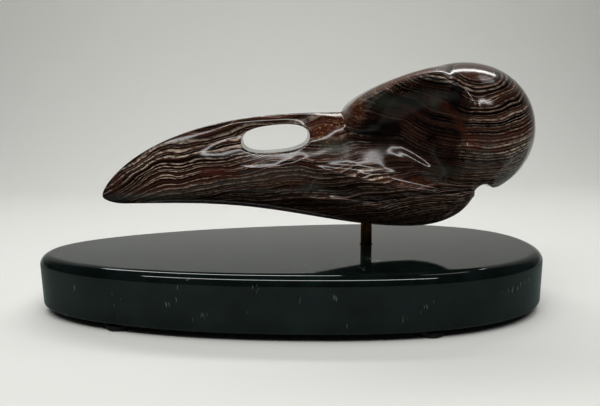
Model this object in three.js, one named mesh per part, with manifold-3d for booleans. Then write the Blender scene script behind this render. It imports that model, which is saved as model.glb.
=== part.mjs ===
// A raven's skull carved in dark banded stone, on a brass pin over an oval stone base.
// Millimetres, +Z up. The bill points to -X, and the origin is on the table below the
// middle of the base.
import * as THREE from 'three';
import { mergeVertices } from 'three/addons/utils/BufferGeometryUtils.js';
import Module from 'manifold-3d';

const wasm = await Module();
wasm.setup();

// Base: an egg-shaped oval, wider below the cranium
const BASE_HALF_LENGTH = 70;
const BASE_HALF_WIDTH = 29;
const BASE_EGG = 0.194;
const BASE_SQUARENESS = 2.25;
const BASE_TOP = 16.2;
const BASE_TOP_ROUND = 2.8;
const BASE_BOTTOM_ROUND = 1.4;
const BASE_SIDES = 76;

// Feet: low pads under the rim of the base
const FOOT_RADIUS = 4.2;
const FOOT_HEIGHT = 1.4;
const FOOT_INSET = 0.7;
const FOOT_LEFT_X = -44;
const FOOT_RIGHT_X = 33;
const FOOT_SIDES = 16;

// Pin: a round rod in blind holes
const PIN_RADIUS = 1.6;
const PIN_X = 21.4;
const PIN_DEPTH_IN_BASE = 8;
const PIN_DEPTH_IN_SKULL = 9;
const PIN_SIDES = 24;
const GAP = 0.3;

// Skull: places along its length and its height
const TIP = { x: -52.5, z: 31.4 };
const HINGE = { x: 15.1, z: 53.7 };
const BROW = { x: 14.1, z: 52.8 };
const CROWN = { x: 46.5, z: 66.6 };
const BACK = { x: 65.8, z: 48 };
const CHIN = { x: -46, z: 29.2 };
const JAW = { x: 34.3, z: 21.5 };
const JAW_END = { x: 49.9, z: 29.8 };
const OCCIPUT_DROP = 18;

// Skull: how the outlines bend between those places
const CULMEN_FLATNESS = 2.7;
const CULMEN_BLUNTNESS = 0.7;
const BROW_FALL = 1.35;
const BROW_BLUNTNESS = 0.58;
const BACK_FULLNESS = 2.15;
const CHIN_BLUNTNESS = 0.6;
const JAW_SAG = 1.8;
const BILL_TAPER = 0.75;
const JAW_SQUARENESS = 4;
const CREST_SHARPNESS = 1.5;
const CHEEK_SHARPNESS = 0.75;
const CHEEK_FRONT_X = -6;

// Skull: half widths
const BILL_HALF_WIDTH = 12.5;
const BILL_ROOT_X = 15;
const JAW_HALF_WIDTH = 13.5;
const JAW_WIDEST_X = 30;
const CRANIUM_HALF_WIDTH = 20.5;
const BROW_FRONT_HALF_WIDTH = 10.2;
const BROW_FLOOR = 42;
const BROW_FOOT = 45;
const BROW_FULL = 51.5;
const BROW_NOSE = 4;
const BROW_FLATNESS = 20;
const BROW_ROUNDING = 0.25;
const BROW_SPREAD = 3;
const ROUND_FROM_X = 30;
const ROUND_TO_X = 43;
const BLEND = 2.6;

// Cheek: the level at which the bill and the jaw are widest, and the orbit's sill
const CHEEK_LINE = [
  [-52.5, 31], [-30, 33.2], [2, 39.8], [12.3, 38.1], [27.6, 34.5], [40.6, 32.3], [53, 30.6],
];
const SILL_LINE = [[15.1, 53.7], [17, 54.4], [21, 61], [28, 69], [38, 68], [50, 50]];

// Eye sockets: a slanted egg, crisp at the brow and soft at the sill, with a deep front corner
const EYE = { x: 27.8, z: 50.7, halfLength: 18.4, halfHeight: 13.7, tilt: 0.66 };
const EYE_Y = 26;
const EYE_DEPTH = 20;
const RIM_BLEND = 0.5;
const SILL_BLEND = 3.5;
const SILL_TOP = 51.5;
const SILL_FOOT = 48;
const LIP = { x: 17, z: 53, length: 4, height: 5, blend: 1.4 };
const POCKET = { x: 22, z: 48.6, length: 5.5, height: 4, depth: 1.8 };

// Nostril: an oblong hole through the bill, with a dished rim and a groove before it
const NOSTRIL = { x: -4.2, z: 47, halfLength: 9.2, halfHeight: 3.9, tilt: 0.09, squareness: 2.5 };
const NOSTRIL_RIM_DEPTH = 1.15;
const NOSTRIL_RIM_WIDTH = 2.2;
const DEEPEST_DISH = 0.5;
const GROOVE = { x: -20, z: 46, halfLength: 7, halfHeight: 2.6, tilt: 0.3, depth: 1.2 };

// Ridges and grooves on both sides: a groove's height is below 0
const CHEEK_RIDGE = {
  points: [[2, 39.8], [12.3, 38.1], [27.6, 34.5], [40.6, 32.3]], halfWidth: 0.8, height: 0.6,
};
const JAW_RIDGE = {
  points: [[3.6, 31], [10.2, 30.9], [18.2, 29.5], [29, 27.3]], halfWidth: 0.9, height: 0.7,
};
const JAW_TROUGH = { points: [[5, 34.6], [15.4, 32.8], [30, 30.2]], halfWidth: 1.6, height: -1 };
const SILL_RIDGE = {
  points: [[25, 43.6], [28.5, 41.6], [32.5, 39.7], [36.4, 37.8], [41, 36.4]], halfWidth: 1.8, height: 0.7,
};
const BRIDGE_GROOVE = {
  points: [[2.5, 42.6], [6.3, 44.2], [10.3, 46.4], [14.2, 48.9], [17.6, 50]], halfWidth: 1.7, height: -1,
};
const NOSTRIL_BORDER = {
  points: [[-16.4, 39.5], [-10, 39.2], [-4.3, 39.9], [-0.3, 41.1]], halfWidth: 0.7, height: 0.45,
};
const TEMPLE_SWELLING = { points: [[39.5, 44.2], [43, 43.4], [47.4, 41.6]], halfWidth: 1.8, height: 0.6 };
const CARVED_LINES = [
  CHEEK_RIDGE, JAW_RIDGE, JAW_TROUGH, SILL_RIDGE, BRIDGE_GROOVE, NOSTRIL_BORDER, TEMPLE_SWELLING,
];
const TAPER_POWER = 4;
const THIN_EDGE = 2;

// Notch between the jaw and the back of the cranium
const NOTCH = { x: 49.6, z: 33.4, radius: 1.6, from: 0.37 * Math.PI, to: 1.1 * Math.PI };
const NOTCH_LIP = { x: 53.4, z: 33.4 };
const NOTCH_REACH = 62;
const CUT_HALF_DEPTH = 30;
const CUT_OVERRUN = 5;

// Fineness of the carved surface
const SECTIONS = 150;
const SECTION_POINTS = 132;
const END_CROWDING = 0.6;
const EDGE_CROWDING = 0.5;
const CREST_MARGIN = 0.15;
const FACET_TOLERANCE = 0.12;
const NOSTRIL_STEPS = 40;
const WELD = 1e-4;

const clamp = (value, low, high) => Math.min(Math.max(value, low), high);
const softMax = (a, b, k) => Math.max(a, b) + (Math.max(k - Math.abs(a - b), 0) ** 2) / (4 * k);
const mix = (a, b, t) => a + (b - a) * t;
const dome = (square) => Math.sqrt(Math.max(1 - square, 0));

// Smooth share of the way from low to high
function ease(value, low, high) {
  const t = clamp((value - low) / (high - low), 0, 1);
  return t * t * (3 - 2 * t);
}

// Smooth height of a line of points at x
function lineAt(points, x) {
  const last = points.length - 1;
  const place = clamp(x, points[0][0], points[last][0]);
  const slope = (i) => {
    const before = points[Math.max(i - 1, 0)];
    const after = points[Math.min(i + 1, last)];
    return (after[1] - before[1]) / (after[0] - before[0]);
  };
  let i = 0;
  while (i < last - 1 && place > points[i + 1][0]) i += 1;
  const [x0, z0] = points[i];
  const [x1, z1] = points[i + 1];
  const span = x1 - x0;
  const t = (place - x0) / span;
  const smooth = t * t * (3 - 2 * t);
  const lead = t * (1 - t) * (1 - t) * slope(i) * span;
  const trail = t * t * (1 - t) * slope(i + 1) * span;
  return mix(z0, z1, smooth) + lead - trail;
}

// Share of the way along the brow, from the bill to the crown
const alongBrow = (x) => clamp((x - BROW.x) / (CROWN.x - BROW.x), 0, 1);

// How far x is towards the back of the cranium: 0 at the crown and 1 at the back
const pastCrown = (x) => Math.abs((x - CROWN.x) / (BACK.x - CROWN.x)) ** BACK_FULLNESS;

// Top outline of the bill
function culmenLine(x) {
  const t = clamp((x - TIP.x) / (HINGE.x - TIP.x), 0, 1);
  return mix(TIP.z, HINGE.z, (1 - (1 - t) ** CULMEN_FLATNESS) ** CULMEN_BLUNTNESS);
}

// Top outline of the brow, which rises steeply behind the bill
function browLine(x) {
  return mix(BROW.z, CROWN.z, (1 - (1 - alongBrow(x)) ** BROW_FALL) ** BROW_BLUNTNESS);
}

// Top outline: the culmen of the bill, the brow and the dome of the cranium
function topLine(x) {
  if (x < BROW.x) return culmenLine(x);
  if (x < CROWN.x) return Math.max(culmenLine(x), browLine(x));
  return BACK.z + (CROWN.z - BACK.z) * dome(pastCrown(x));
}

// Lower outline of the bill and the jaw
function jawLine(x) {
  if (x < CHIN.x) {
    const t = (x - TIP.x) / (CHIN.x - TIP.x);
    return mix(TIP.z, CHIN.z, (1 - (1 - t) ** 2) ** CHIN_BLUNTNESS);
  }
  if (x < JAW.x) {
    const t = (x - CHIN.x) / (JAW.x - CHIN.x);
    return mix(CHIN.z, JAW.z, (0.5 - 0.5 * Math.cos(Math.PI * t)) ** JAW_SAG);
  }
  return JAW_END.z - (JAW_END.z - JAW.z) * dome(((x - JAW.x) / (JAW_END.x - JAW.x)) ** 2);
}

// Lower outline of the whole skull
function bottomLine(x) {
  const back = BACK.z - OCCIPUT_DROP * dome(pastCrown(x));
  return x < JAW_END.x ? jawLine(x) : back;
}

// Half thickness of the bill and the jaw, with a crest along the cheek
function jawMass(x, z) {
  if (x > JAW_END.x) return 0;
  const along = (x - TIP.x) / (BILL_ROOT_X - TIP.x);
  const past = Math.max((x - JAW_WIDEST_X) / (JAW_END.x - JAW_WIDEST_X), 0);
  const swell = clamp((x - BILL_ROOT_X) / (JAW_WIDEST_X - BILL_ROOT_X), 0, 1);
  const taper = Math.min(along, 1) ** BILL_TAPER;
  const end = Math.max(1 - past ** JAW_SQUARENESS, 0) ** (1 / JAW_SQUARENESS);
  const width = mix(BILL_HALF_WIDTH, JAW_HALF_WIDTH, swell) * taper * end;
  const crest = lineAt(CHEEK_LINE, x);
  const roof = x < HINGE.x ? culmenLine(x) : lineAt(SILL_LINE, x);
  const floor = jawLine(x);
  const s = z > crest ? (z - crest) / (roof - crest) : (crest - z) / (crest - floor);
  const cheek = clamp((x - CHEEK_FRONT_X) / (BILL_ROOT_X - CHEEK_FRONT_X), 0, 1);
  return width * dome(s ** mix(CREST_SHARPNESS, CHEEK_SHARPNESS, cheek));
}

// Half thickness of the cranium
function craniumMass(x, z) {
  const rise = z > BACK.z ? CROWN.z - BACK.z : OCCIPUT_DROP;
  return CRANIUM_HALF_WIDTH * dome(pastCrown(x) + ((z - BACK.z) / rise) ** 2);
}

// Half thickness of the brow, a flat roof between the eyes that rounds off into the cranium
function browMass(x, z) {
  const t = alongBrow(x);
  const floor = mix(BROW_FLOOR, BACK.z, t);
  if (x < BROW.x || x > CROWN.x || z < floor) return 0;
  const nose = clamp((x - BROW.x) / BROW_NOSE, 0, 1);
  const spread = mix(BROW_FRONT_HALF_WIDTH, CRANIUM_HALF_WIDTH, t ** BROW_SPREAD);
  const width = spread * dome((1 - nose) ** 2) * ease(z, BROW_FOOT, BROW_FULL);
  const s = clamp((z - floor) / (browLine(x) - floor), 0, 1);
  const bulge = ease(x, ROUND_FROM_X, ROUND_TO_X);
  return width * (1 - s ** mix(BROW_FLATNESS, 2, bulge)) ** mix(BROW_ROUNDING, 0.5, bulge);
}

// Place of (x, z) in the slanted frame of an oblong mark, in half lengths and half heights
function inMark(mark, x, z) {
  const dx = x - mark.x;
  const dz = z - mark.z;
  const u = (dx * Math.cos(mark.tilt) + dz * Math.sin(mark.tilt)) / mark.halfLength;
  const v = (dz * Math.cos(mark.tilt) - dx * Math.sin(mark.tilt)) / mark.halfHeight;
  return [u, v];
}

// A soft round share, 1 at the centre of a spot
function inSpot(spot, x, z) {
  const u = (x - spot.x) / spot.length;
  const v = (z - spot.z) / spot.height;
  return Math.exp(-u * u - v * v);
}

// How far the nostril's rim and the groove before it are sunk
function billDish(x, z) {
  const [u, v] = inMark(NOSTRIL, x, z);
  const power = NOSTRIL.squareness;
  const outside = ((Math.abs(u) ** power + Math.abs(v) ** power) ** (1 / power) - 1) * NOSTRIL.halfHeight;
  const rim = NOSTRIL_RIM_DEPTH * clamp(1 - outside / NOSTRIL_RIM_WIDTH, 0, 1);
  const [gu, gv] = inMark(GROOVE, x, z);
  return rim + GROOVE.depth * Math.exp(-(gu * gu + gv * gv));
}

// Distance of the eye socket's wall from the middle plane
function eyeWall(x, z) {
  const [u, v] = inMark(EYE, x, z);
  return EYE_Y - EYE_DEPTH * dome(u * u + v * v) - POCKET.depth * inSpot(POCKET, x, z);
}

// Soft share of a carved line at (x, z): 1 on the line, fading at its ends
function carvedShare(line, x, z) {
  let nearest = Infinity;
  let way = 0;
  let walked = 0;
  for (let i = 0; i < line.points.length - 1; i += 1) {
    const [x0, z0] = line.points[i];
    const [x1, z1] = line.points[i + 1];
    const span = Math.hypot(x1 - x0, z1 - z0);
    const t = clamp(((x - x0) * (x1 - x0) + (z - z0) * (z1 - z0)) / span ** 2, 0, 1);
    const gap = Math.hypot(x - mix(x0, x1, t), z - mix(z0, z1, t));
    if (gap < nearest) {
      nearest = gap;
      way = walked + t * span;
    }
    walked += span;
  }
  const ends = Math.abs((2 * way) / walked - 1) ** TAPER_POWER;
  return Math.exp(-((nearest / line.halfWidth) ** 2)) * (1 - ends);
}

// Half thickness of the skull at a point of its side view
function halfThickness(x, z) {
  let y = softMax(jawMass(x, z), craniumMass(x, z), BLEND);
  y = softMax(y, browMass(x, z), mix(BLEND, GAP, alongBrow(x)));
  y -= Math.min(billDish(x, z), y * DEEPEST_DISH);
  const soft = clamp((SILL_TOP - z) / (SILL_TOP - SILL_FOOT), 0, 1);
  const blend = mix(RIM_BLEND, SILL_BLEND, soft) + LIP.blend * inSpot(LIP, x, z);
  y = -softMax(-y, -eyeWall(x, z), blend);
  for (const line of CARVED_LINES) {
    const relief = Math.max(line.height * carvedShare(line, x, z), -y * DEEPEST_DISH);
    y += relief * clamp(y / THIN_EDGE, 0, 1);
  }
  return Math.max(y, 0);
}

// Closed solid of a geometry, for cutting
function solid(geometry) {
  geometry.deleteAttribute('normal');
  geometry.deleteAttribute('uv');
  const merged = mergeVertices(geometry, WELD);
  const mesh = new wasm.Mesh({
    numProp: 3,
    vertProperties: new Float32Array(merged.attributes.position.array),
    triVerts: new Uint32Array(merged.index.array),
  });
  return new wasm.Manifold(mesh);
}

// Geometry of a closed solid
function geometryOf(body) {
  const mesh = body.getMesh();
  const geometry = new THREE.BufferGeometry();
  geometry.setAttribute('position', new THREE.BufferAttribute(mesh.vertProperties, 3));
  geometry.setIndex(new THREE.BufferAttribute(mesh.triVerts, 1));
  geometry.computeVertexNormals();
  return geometry;
}

// Upright round bar between two heights
function upright(radius, x, low, high) {
  const bar = new THREE.CylinderGeometry(radius, radius, high - low, PIN_SIDES);
  bar.rotateX(Math.PI / 2);
  bar.translate(x, 0, (low + high) / 2);
  return bar;
}

// Bar of a side-view shape, right through the skull
function crossBar(shape) {
  const bar = new THREE.ExtrudeGeometry(shape, { depth: 2 * CUT_HALF_DEPTH, bevelEnabled: false });
  bar.translate(0, 0, -CUT_HALF_DEPTH);
  bar.rotateX(Math.PI / 2);
  return bar;
}

// The rounded oblong of the nostril
function nostrilShape() {
  const points = [];
  for (let i = 0; i < NOSTRIL_STEPS; i += 1) {
    const angle = (2 * Math.PI * i) / NOSTRIL_STEPS;
    const power = 2 / NOSTRIL.squareness;
    const u = Math.sign(Math.cos(angle)) * Math.abs(Math.cos(angle)) ** power * NOSTRIL.halfLength;
    const v = Math.sign(Math.sin(angle)) * Math.abs(Math.sin(angle)) ** power * NOSTRIL.halfHeight;
    const x = NOSTRIL.x + u * Math.cos(NOSTRIL.tilt) - v * Math.sin(NOSTRIL.tilt);
    const z = NOSTRIL.z + u * Math.sin(NOSTRIL.tilt) + v * Math.cos(NOSTRIL.tilt);
    points.push(new THREE.Vector2(x, z));
  }
  return new THREE.Shape(points);
}

// The notch and the flat underside of the cranium behind it
function notchShape() {
  const shape = new THREE.Shape();
  shape.moveTo(NOTCH_LIP.x, NOTCH_LIP.z);
  shape.absarc(NOTCH.x, NOTCH.z, NOTCH.radius, NOTCH.from, NOTCH.to, false);
  shape.lineTo(JAW_END.x, JAW_END.z);
  shape.lineTo(JAW_END.x + 1, JAW.z);
  shape.lineTo(NOTCH_REACH, JAW.z);
  shape.lineTo(NOTCH_REACH, NOTCH_LIP.z);
  shape.closePath();
  return shape;
}

// The carved block: a ball whose rings become sections across the skull
function carvedBlock() {
  const ball = new THREE.SphereGeometry(1, SECTION_POINTS, SECTIONS);
  const position = ball.attributes.position;
  const middle = (TIP.x + BACK.x) / 2;
  const reach = (BACK.x - TIP.x) / 2;
  const perRing = SECTION_POINTS + 1;
  for (let i = 0; i < position.count; i += 1) {
    const ring = Math.floor(i / perRing);
    const around = (2 * Math.PI * (i % perRing)) / SECTION_POINTS;
    const t = 1 - (2 * ring) / SECTIONS;
    const x = middle - reach * mix(t, Math.sin((Math.PI / 2) * t), END_CROWDING);
    const top = topLine(x);
    const bottom = bottomLine(x);
    const margin = CREST_MARGIN * (top - bottom);
    const level = clamp(lineAt(CHEEK_LINE, x), bottom + margin, top - margin);
    const rise = mix((2 / Math.PI) * Math.asin(Math.sin(around)), Math.sin(around), EDGE_CROWDING);
    const z = level + rise * (rise > 0 ? top - level : level - bottom);
    const end = ring === 0 || ring === SECTIONS;
    const side = Math.abs(Math.cos(around)) < WELD || end ? 0 : -Math.sign(Math.cos(around));
    position.setXYZ(i, x, side * halfThickness(x, z), z);
  }
  return ball;
}

function ravenSkull() {
  const foot = jawLine(PIN_X);
  const pinHole = upright(PIN_RADIUS + GAP, PIN_X, foot - CUT_OVERRUN, foot + PIN_DEPTH_IN_SKULL);
  const cutters = [crossBar(nostrilShape()), crossBar(notchShape()), pinHole];
  const block = solid(carvedBlock());
  const skull = cutters.reduce((body, cutter) => body.subtract(solid(cutter)), block);
  return geometryOf(skull.simplify(FACET_TOLERANCE));
}

// Half width of the base's outline at a place along it
function baseHalfWidth(x) {
  const taper = BASE_HALF_WIDTH * (1 + (BASE_EGG * x) / BASE_HALF_LENGTH);
  const rest = 1 - Math.abs(x / BASE_HALF_LENGTH) ** BASE_SQUARENESS;
  return taper * Math.max(rest, 0) ** (1 / BASE_SQUARENESS);
}

// Rings of the base's side from the bottom to the top, as insets and heights
function baseProfile() {
  const rings = [];
  const quarter = (round, height, from, steps, sense) => {
    for (let i = 0; i <= steps; i += 1) {
      const angle = from + (Math.PI / 2) * (i / steps);
      rings.push([round * (1 - Math.cos(angle)), height + sense * round * Math.abs(Math.sin(angle))]);
    }
  };
  quarter(BASE_BOTTOM_ROUND, FOOT_HEIGHT + GAP + BASE_BOTTOM_ROUND, -Math.PI / 2, 3, -1);
  quarter(BASE_TOP_ROUND, BASE_TOP - BASE_TOP_ROUND, 0, 4, 1);
  return rings;
}

function baseSlab() {
  const rings = baseProfile();
  const slab = new THREE.CylinderGeometry(1, 1, rings.length - 1, BASE_SIDES, rings.length - 1);
  const position = slab.attributes.position;
  const power = 2 / BASE_SQUARENESS;
  for (let i = 0; i < position.count; i += 1) {
    const ring = Math.round(position.getY(i) + (rings.length - 1) / 2);
    const [inset, height] = rings[ring];
    const c = position.getX(i);
    const s = -position.getZ(i);
    const along = Math.sign(c) * Math.abs(c) ** power;
    const across = Math.sign(s) * Math.abs(s) ** power;
    const width = BASE_HALF_WIDTH * (1 + BASE_EGG * along) - inset;
    position.setXYZ(i, along * (BASE_HALF_LENGTH - inset), across * width, height);
  }
  const hole = upright(PIN_RADIUS + GAP, PIN_X, BASE_TOP - PIN_DEPTH_IN_BASE, BASE_TOP + CUT_OVERRUN);
  return geometryOf(solid(slab).subtract(solid(hole)));
}

function pinRod() {
  const low = BASE_TOP - PIN_DEPTH_IN_BASE + GAP;
  const high = jawLine(PIN_X) + PIN_DEPTH_IN_SKULL - GAP;
  return upright(PIN_RADIUS, PIN_X, low, high);
}

// A pad with a rounded lower edge
function footPad() {
  const round = FOOT_HEIGHT / 2;
  const outline = new THREE.Path();
  outline.moveTo(0, 0);
  outline.lineTo(FOOT_RADIUS - round, 0);
  outline.absarc(FOOT_RADIUS - round, round, round, -Math.PI / 2, 0, false);
  outline.lineTo(FOOT_RADIUS, FOOT_HEIGHT);
  outline.lineTo(0, FOOT_HEIGHT);
  const pad = new THREE.LatheGeometry(outline.getPoints(1), FOOT_SIDES);
  pad.rotateX(Math.PI / 2);
  return mergeVertices(pad, WELD);
}

const BANDED_STONE = new THREE.MeshStandardMaterial({ color: 0x35271f, roughness: 0.15 });
const GREEN_STONE = new THREE.MeshStandardMaterial({ color: 0x14201e, roughness: 0.12 });
const BRASS = new THREE.MeshStandardMaterial({ color: 0x8a6a32, roughness: 0.35, metalness: 1 });
const RUBBER = new THREE.MeshStandardMaterial({ color: 0x16130f, roughness: 0.7 });

const carving = new THREE.Group();

function place(name, geometry, material) {
  const mesh = new THREE.Mesh(geometry, material);
  mesh.name = name;
  carving.add(mesh);
  return mesh;
}

place('raven_skull', ravenSkull(), BANDED_STONE);
place('pin', pinRod(), BRASS);
place('base', baseSlab(), GREEN_STONE);

for (const [end, x] of [['left', FOOT_LEFT_X], ['right', FOOT_RIGHT_X]]) {
  for (const [row, sense] of [['front', -1], ['back', 1]]) {
    const pad = place(`foot_${row}_${end}`, footPad(), RUBBER);
    pad.position.set(x, sense * (baseHalfWidth(x) - BASE_BOTTOM_ROUND - FOOT_RADIUS + FOOT_INSET), 0);
  }
}

export default carving;
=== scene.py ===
import math

import bpy
import numpy as np
from bpy.props import FloatProperty, FloatVectorProperty, PointerProperty
from bpy.types import NodeSocket, Operator, Panel, PropertyGroup
from mathutils import Matrix, Vector


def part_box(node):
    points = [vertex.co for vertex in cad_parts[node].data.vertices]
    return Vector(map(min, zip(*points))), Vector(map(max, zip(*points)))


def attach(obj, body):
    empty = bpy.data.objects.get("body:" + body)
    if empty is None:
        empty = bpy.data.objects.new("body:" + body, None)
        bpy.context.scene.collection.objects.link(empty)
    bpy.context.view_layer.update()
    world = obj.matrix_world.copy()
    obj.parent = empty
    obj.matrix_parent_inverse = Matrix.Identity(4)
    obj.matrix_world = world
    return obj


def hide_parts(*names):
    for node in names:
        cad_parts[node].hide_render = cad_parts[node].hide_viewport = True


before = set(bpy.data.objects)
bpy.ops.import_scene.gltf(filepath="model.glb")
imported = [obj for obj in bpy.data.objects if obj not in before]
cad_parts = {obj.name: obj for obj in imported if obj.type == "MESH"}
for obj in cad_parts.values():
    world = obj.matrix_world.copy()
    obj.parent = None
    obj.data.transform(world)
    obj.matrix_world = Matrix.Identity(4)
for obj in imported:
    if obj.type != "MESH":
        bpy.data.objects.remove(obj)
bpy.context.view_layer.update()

bl_info = {
    "name": "Raven skull carving",
    "version": (1, 0, 0),
    "blender": (4, 5, 0),
    "location": "3D View > Sidebar > Carving",
    "description": "A raven's skull carved in banded stone, on a pin over an oval stone base",
    "category": "Add Mesh",
}


def mm(*sizes):
    """Millimetres in metres: one number, or several as a tuple."""
    metres = tuple(size * 0.001 for size in sizes)
    return metres if len(metres) > 1 else metres[0]


# Places that the frame gives: lowest and highest corners of the pieces
SKULL_LOW, SKULL_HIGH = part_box("raven_skull")
BASE_LOW, BASE_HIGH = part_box("base")
PIN_LOW, PIN_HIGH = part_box("pin")
PIN_X = (PIN_LOW.x + PIN_HIGH.x) / 2
PIN_RADIUS = (PIN_HIGH.x - PIN_LOW.x) / 2
FEET = ("foot_front_left", "foot_back_left", "foot_front_right", "foot_back_right")

# Skull: places in its side view, as (x, z)
TIP = (SKULL_LOW.x, mm(31.4))
HINGE = mm(15.1, 53.7)
BROW = mm(14.1, 52.8)
CROWN = (mm(46.5), SKULL_HIGH.z)
BACK = (SKULL_HIGH.x, mm(48))
CHIN = mm(-46, 29.2)
JAW = (mm(34.3), SKULL_LOW.z)
JAW_END = mm(49.9, 29.8)
OCCIPUT_DROP = mm(18)
BROW_FLOOR = mm(42)
BILL_ROOT_X = mm(15)
JAW_WIDEST_X = mm(30)
CHEEK_LINE = [mm(-52.5, 31), mm(-30, 33.2), mm(2, 39.8), mm(12.3, 38.1), mm(27.6, 34.5), mm(40.6, 32.3),
              mm(53, 30.6)]
SILL_LINE = [mm(15.1, 53.7), mm(17, 54.4), mm(21, 61), mm(28, 69), mm(38, 68), mm(50, 50)]

# Skull: how its outlines bend between those places
CULMEN_FLATNESS = 2.7
CULMEN_BLUNTNESS = 0.7
BROW_FALL = 1.35
BROW_BLUNTNESS = 0.58
BACK_FULLNESS = 2.15
CHIN_BLUNTNESS = 0.6
JAW_SAG = 1.8
BILL_TAPER = 0.75
JAW_SQUARENESS = 4
CREST_SHARPNESS = 1.5
CHEEK_SHARPNESS = 0.75
CHEEK_FRONT_X = mm(-6)
BROW_FLATNESS = 20
BROW_ROUNDING = 0.25
BROW_SPREAD = 3
BROW_NOSE = mm(4)
ROUND_FROM_X = mm(30)
ROUND_TO_X = mm(43)
BROW_FOOT = mm(45)
BROW_FULL = mm(51.5)
BLEND = mm(2.6)

# Eye sockets: a slanted egg, crisp at the brow, whose floor slopes out to the cheek in front
EYE = mm(27.8, 26, 50.7)
EYE_RADII = mm(18.4, 20, 13.7)
EYE_TILT = 0.66
RIM_BLEND = mm(0.5)
SILL_BLEND = mm(3.5)
SILL_TOP = mm(51.5)
SILL_FOOT = mm(48)
LIP = mm(17, 53)
LIP_SPREAD = mm(4, 5)
LIP_BLEND = mm(1.4)
FLOOR_SLOPE = 0.25
FLOOR_ROUND = 0.15
FLOOR_CLOSES = (-0.05, 0.55)

# Nostril: an oblong window through the bill, its dished rim, and the groove before it
NOSTRIL = mm(-4.2, 46.85)
NOSTRIL_HALF = mm(9.2, 3.55)
NOSTRIL_TILT = 0.09
NOSTRIL_SQUARENESS = 2.5
RIM_DEPTHS = mm(0.88, 2.2)
RIM_FADE = 0.15
RIM_TURN = 0.6
RIM_WIDTH = mm(3)
RIM_SOFTNESS = 0.2
DEEPEST_DISH = 0.5
GROOVE = mm(-20, 46)
GROOVE_HALF = mm(7, 2.6)
GROOVE_TILT = 0.3
GROOVE_DEPTH = mm(1.2)

# Notch between the jaw and the back of the cranium
NOTCH = mm(49.6, 33.4)
NOTCH_RADIUS = mm(1.6)
NOTCH_LIP = mm(53.4, 33.4)
NOTCH_ARC = (0.37 * math.pi, 1.1 * math.pi)
NOTCH_REACH = mm(62)
NOTCH_CLEARANCE = mm(1)

# Carved lines on both sides: (points, half width, height), where a groove's height is below 0
CARVED_LINES = (
    # Ridge of the cheek bone, the jaw's own ridge, and the trough between them
    ([mm(2, 39.8), mm(12.3, 38.1), mm(27.6, 34.5), mm(40.6, 32.3), mm(48.5, 31.2)], mm(0.8), mm(0.6)),
    ([mm(3.6, 31), mm(10.2, 30.9), mm(18.2, 29.6), mm(29, 27.3)], mm(0.9), mm(1.25)),
    ([mm(5, 34.6), mm(15.4, 32.8), mm(30, 30.2)], mm(1.6), mm(-1)),
    # Two ridges from the eye socket's floor to the jaw
    ([mm(25, 43.2), mm(28.5, 41.4), mm(32.5, 39.5), mm(36.4, 37.6), mm(41, 36.2)], mm(1.8), mm(0.8)),
    ([mm(28, 44), mm(30.5, 42.3), mm(33, 40.7), mm(37, 38.4)], mm(0.8), mm(0.3)),
    # Two fine folds along the cheek
    ([mm(8, 40.2), mm(14, 40), mm(18, 39.7), mm(24, 39.1)], mm(0.55), mm(0.16)),
    ([mm(14, 38.2), mm(19, 38.4), mm(24, 38.2), mm(29, 37.6)], mm(0.5), mm(0.12)),
    # Swelling of the bridge, and the border of the hollow under the nostril
    ([mm(0.5, 46.8), mm(6, 48), mm(12, 49.6), mm(16, 50.8), mm(20, 52)], mm(3), mm(0.9)),
    ([mm(-15.7, 39.4), mm(-10, 39), mm(-4, 39.4), mm(0.5, 40.6), mm(4, 42.3)], mm(0.7), mm(0.45)),
    # Edge behind the eye, and the two folds below it
    ([mm(41.2, 60.2), mm(42.4, 58), mm(43.2, 55.5), mm(43.9, 52.8)], mm(0.7), mm(0.5)),
    ([mm(37, 44.6), mm(42, 44.2), mm(46, 43.2)], mm(1.5), mm(1.3)),
    ([mm(48.5, 44.6), mm(50.8, 42.5), mm(53.2, 39.8)], mm(2), mm(1.5)),
)

# How carved lines fade towards their ends, and where the skull is thinner than this
TAPER_POWER = 4
THIN_EDGE = mm(2)

# Fineness of the carved surface and of the cuts in it
SECTIONS = 300
SECTION_POINTS = 264
END_CROWDING = 0.6
VOXEL = mm(0.41)
POLISH_PASSES = 4
POLISH_STRENGTH = 0.5
NOSTRIL_POINTS = 96
NOTCH_POINTS = 24
CUT_HALF_DEPTH = mm(30)
CUT_OVERRUN = mm(5)
GAP = mm(0.3)
WELD = 1e-6

# Base: an egg-shaped oval, wider below the cranium
BASE_EGG = 0.194
BASE_SQUARENESS = 2.25
BASE_SIDES = 288
BASE_SAMPLES = 2001

# Round edges of the base, the pin and the feet
ROD_SIDES = 64
TOP_STEPS = 14
EDGE_STEPS = 6
CHAMFER_STEPS = 2
SMOOTH_ANGLE = math.radians(30)


def linear(code):
    """Linear red, green and blue of an sRGB hex colour."""
    shares = [int(code[i:i + 2], 16) / 255 for i in (1, 3, 5)]
    return tuple(s / 12.92 if s <= 0.04045 else ((s + 0.055) / 1.055) ** 2.4 for s in shares)


def size(name, words, default):
    """A length that a user may change."""
    return FloatProperty(name=name, description=words, default=default, min=0, precision=5, unit="LENGTH")


def share(name, words, default):
    """A factor from 0 to 1 that a user may change."""
    return FloatProperty(name=name, description=words, default=default, min=0, max=1, subtype="FACTOR")


def colour(name, words, code):
    """A colour that a user may change."""
    return FloatVectorProperty(
        name=name, description=words, default=linear(code), min=0, max=1, subtype="COLOR")


def degrees(name, words, default):
    """An angle that a user may change."""
    return FloatProperty(name=name, description=words, default=math.radians(default), subtype="ANGLE")


def watts(name, words, default):
    """A light's power that a user may change."""
    return FloatProperty(name=name, description=words, default=default, min=0, unit="POWER")


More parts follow.
